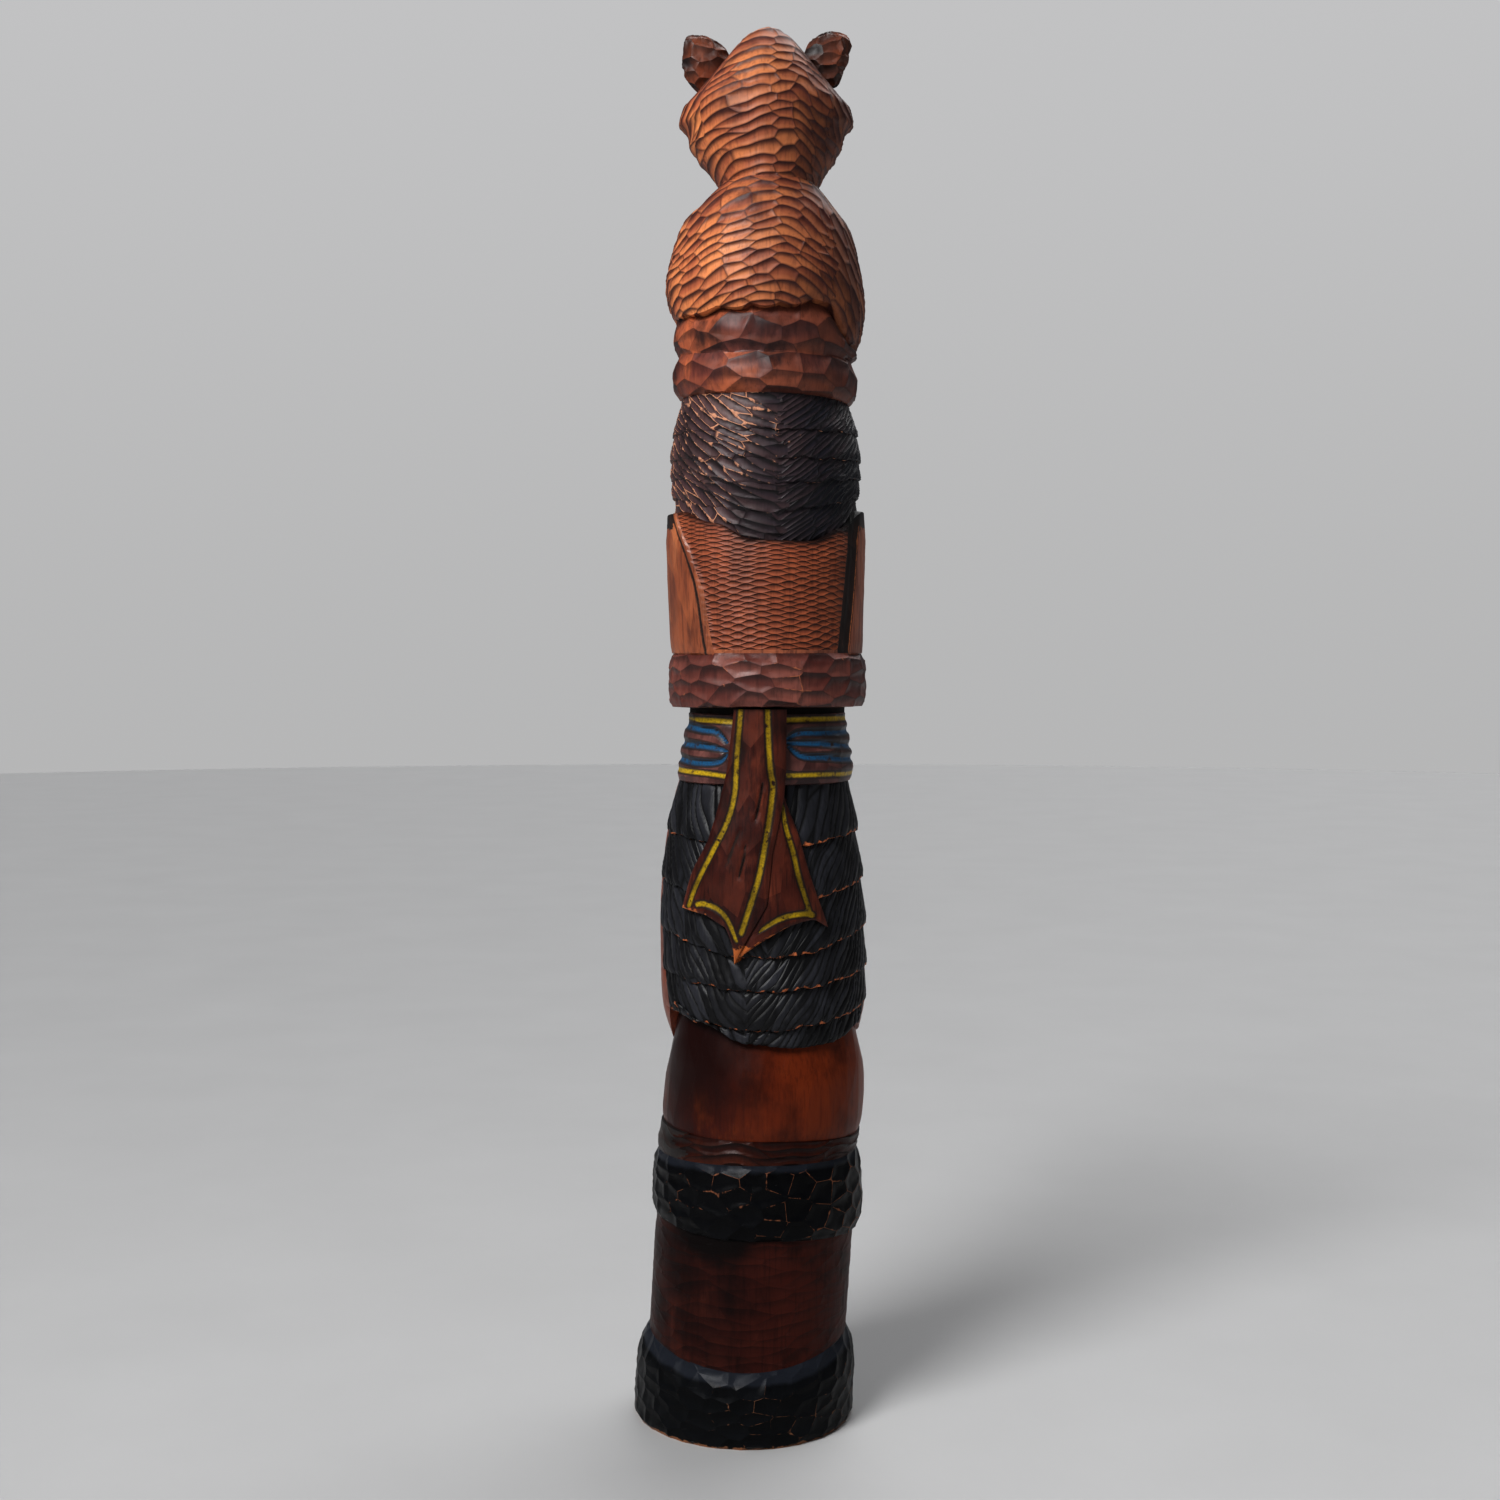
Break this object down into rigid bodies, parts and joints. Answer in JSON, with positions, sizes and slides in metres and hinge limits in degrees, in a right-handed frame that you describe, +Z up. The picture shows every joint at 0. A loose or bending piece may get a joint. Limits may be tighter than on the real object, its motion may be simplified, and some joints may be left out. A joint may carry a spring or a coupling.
{
  "type": "carved totem pole",
  "caption": "Standing wooden totem pole carved from one log: a bear over two stacked robed figures on a round foot.",
  "frame": {"origin": "centre of the bounding box, on the floor under the foot", "axes": "+Z up along the log, -Y is the carved back with the strap, +Y is the faces' side, +X is to the right seen from the back"},
  "size_m": [0.2986, 0.283, 1.75],
  "materials": {
    "stained_wood": "gouge-carved log, stained red-brown and black, painted grooves, satin varnish"
  },
  "bodies": {
    "root": {"totem_pole": "stained_wood"}
  },
  "joints": []
}
